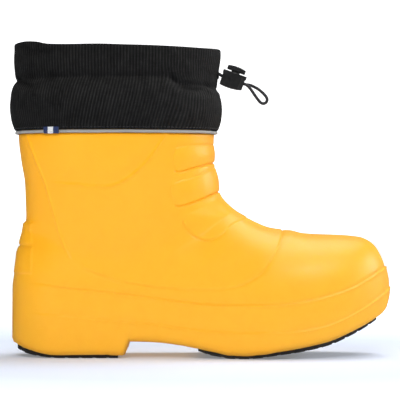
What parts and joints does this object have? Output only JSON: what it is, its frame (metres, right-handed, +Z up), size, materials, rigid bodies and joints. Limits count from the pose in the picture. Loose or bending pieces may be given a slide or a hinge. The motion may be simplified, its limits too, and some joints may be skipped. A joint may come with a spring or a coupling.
{
  "type": "deck boot",
  "caption": "Ankle-high moulded deck boot, right foot, with a textile collar, an elastic drawcord with a spring cord lock, and a loose felt liner.",
  "frame": {"origin": "on the ground, under the middle of the boot's box", "axes": "+X to the toe, +Y to the inner side of the foot, +Z up"},
  "size_m": [0.3055, 0.1168, 0.2525],
  "materials": {
    "eva": "satin moulded foam",
    "tread_rubber": "matt",
    "felt": "needled felt",
    "binding_tape": "woven tape",
    "footbed_foam": "brushed fabric on foam",
    "collar_fabric": "ribbed woven synthetic",
    "lining_fabric": "plain woven synthetic",
    "piping": "reflective satin",
    "ribbon": "woven ribbon",
    "elastic_cord": "braided",
    "eyelet_metal": "black enamel",
    "lock_plastic": "moulded, satin",
    "spring_steel": "drawn wire"
  },
  "bodies": {
    "root": {"boot_shell": "eva", "outsole_heel": "tread_rubber", "outsole_forefoot": "tread_rubber", "liner_boot": "felt", "liner_binding": "binding_tape", "footbed": "footbed_foam", "collar_outer": "collar_fabric", "collar_lining": "lining_fabric", "collar_piping": "piping", "side_tab": "ribbon", "drawcord_ring": "elastic_cord", "eyelet": "eyelet_metal", "eyelet_washer": "eyelet_metal"},
    "cord_end": {"drawcord_loop": "elastic_cord"},
    "cord_lock": {"cord_lock_body": "lock_plastic", "cord_lock_spring": "spring_steel"},
    "plunger": {"cord_lock_plunger": "lock_plastic"}
  },
  "joints": [
    {"name": "drawcord_swing", "type": "hinge", "parent": "root", "child": "cord_end", "pos_m": [0.01435, 0, 0.2281], "axis": [0, -1, 0], "range_deg": [-2, 35], "deforming": ["drawcord_loop"]},
    {"name": "cord_lock_slide", "type": "slide", "parent": "cord_end", "child": "cord_lock", "axis": [0.9397, 0, -0.342], "range_m": [0, 0.012], "deforming": ["drawcord_loop"]},
    {"name": "cord_lock_press", "type": "slide", "parent": "cord_lock", "child": "plunger", "axis": [-0.342, 0, -0.9397], "range_m": [0, 0.0012], "stiffness_N_per_m": 400, "springref_m": -0.0015, "deforming": ["cord_lock_spring"]}
  ]
}
